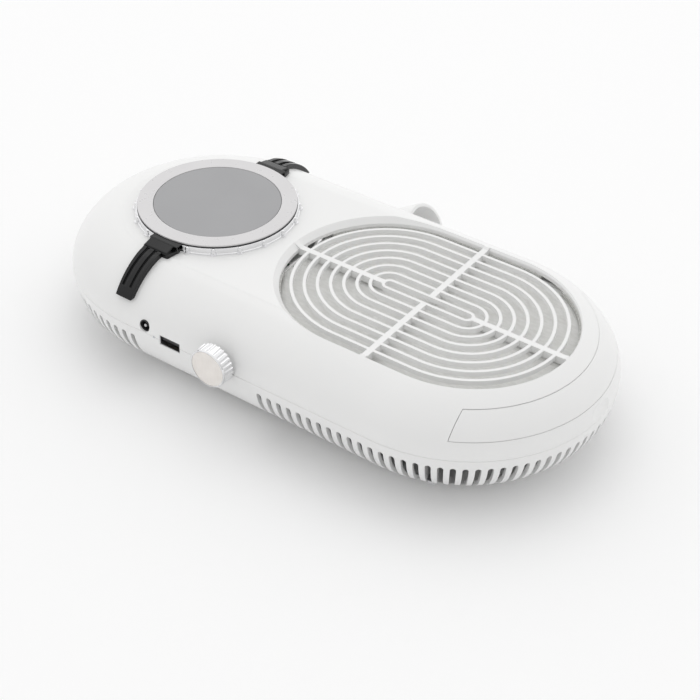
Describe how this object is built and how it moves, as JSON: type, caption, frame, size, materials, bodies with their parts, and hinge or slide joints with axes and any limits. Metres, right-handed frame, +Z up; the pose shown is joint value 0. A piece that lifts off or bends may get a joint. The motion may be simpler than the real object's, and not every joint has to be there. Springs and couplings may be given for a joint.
{
  "type": "nail dust collector",
  "caption": "Desktop nail dust collector: stadium casing, fan under a ring grille, slide-out filter drawer, round display, speed knob and handpiece holder.",
  "frame": {"origin": "on the table top, under the centre of the whole object", "axes": "+X along the casing towards the filter drawer, +Y away from the side with the ports and the knob, +Z up"},
  "size_m": [0.315, 0.1976, 0.07],
  "materials": {
    "white_shell": "smooth semi-gloss moulded ABS, white",
    "white_inner": "fine-grained moulded plastic, white",
    "filter_paper": "pleated filter paper, off-white",
    "pale_foam": "fine closed-cell foam",
    "foot_rubber": "matt soft rubber, grey",
    "black_gloss": "polished black moulded plastic",
    "chrome_trim": "plated mirror finish",
    "silver_face": "fine satin silver lacquer",
    "smoked_lens": "glossy grey cover lens",
    "pearl_cap": "satin pearl lacquer",
    "steel": "zinc-plated steel",
    "black_plastic": "glass-filled black plastic",
    "circuit_board": "green solder mask on glass-epoxy",
    "copper": "enamelled copper winding wire",
    "aluminium": "extruded aluminium",
    "lead_sheath": "soft PVC sheath",
    "bronze": "sintered bronze",
    "clear_plastic": "moulded light pipe",
    "magnet": "bonded ferrite"
  },
  "bodies": {
    "casing": {"upper_shell": "white_shell", "lower_shell": "white_shell", "casing_screws": "steel", "rubber_feet": "foot_rubber", "filter_gasket": "pale_foam", "dial_seal": "black_plastic", "drawer_rails": "white_inner", "drawer_catch": "white_inner", "fan_deck": "white_inner", "deck_screws": "steel", "fan_frame": "black_plastic", "fan_bearings": "bronze", "fan_stator": "steel", "fan_windings": "copper", "fan_board": "circuit_board", "fan_guard": "steel", "fan_screws": "steel", "dial_bezel": "chrome_trim", "dial_face_ring": "silver_face", "display_lens": "smoked_lens", "dial_base": "white_inner", "display_panel": "black_plastic", "display_board": "circuit_board", "display_screws": "steel", "front_clip_block": "black_gloss", "back_clip_block": "black_gloss", "front_clip_strap": "black_gloss", "back_clip_strap": "black_gloss", "potentiometer_body": "aluminium", "potentiometer_washer": "steel", "potentiometer_nut": "steel", "dc_jack": "black_plastic", "dc_jack_pin": "steel", "usb_socket": "steel", "usb_tongue": "black_plastic", "usb_contacts": "bronze", "led_light_pipe": "clear_plastic", "port_board": "circuit_board", "main_board": "circuit_board", "board_screws": "steel", "board_capacitors": "black_plastic", "board_heatsink": "aluminium", "board_chips": "black_plastic", "board_coil": "copper", "board_sockets": "white_inner", "fan_lead": "lead_sheath", "knob_lead": "lead_sheath", "port_lead": "lead_sheath", "display_ribbon": "white_inner", "handpiece_holder": "white_shell", "holder_screws": "steel"},
    "filter_drawer": {"filter_drawer_front": "white_shell", "filter_tray": "white_inner", "pleated_filter": "filter_paper"},
    "knob": {"speed_knob": "chrome_trim", "knob_cap": "pearl_cap", "potentiometer_shaft": "aluminium"},
    "rotor": {"fan_rotor": "black_plastic", "fan_shaft": "steel", "fan_magnet": "magnet"}
  },
  "joints": [
    {"name": "drawer_slide", "type": "slide", "parent": "casing", "child": "filter_drawer", "axis": [1, 0, 0], "range_m": [0, 0.14]},
    {"name": "knob_turn", "type": "hinge", "parent": "casing", "child": "knob", "pos_m": [-0.014, -0.0904, 0.0414], "axis": [0, 1, 0], "range_deg": [0, 300]},
    {"name": "fan_spin", "type": "hinge", "parent": "casing", "child": "rotor", "pos_m": [0.0569, -0.0104, 0.029], "axis": [0, 0, 1], "continuous": true}
  ]
}
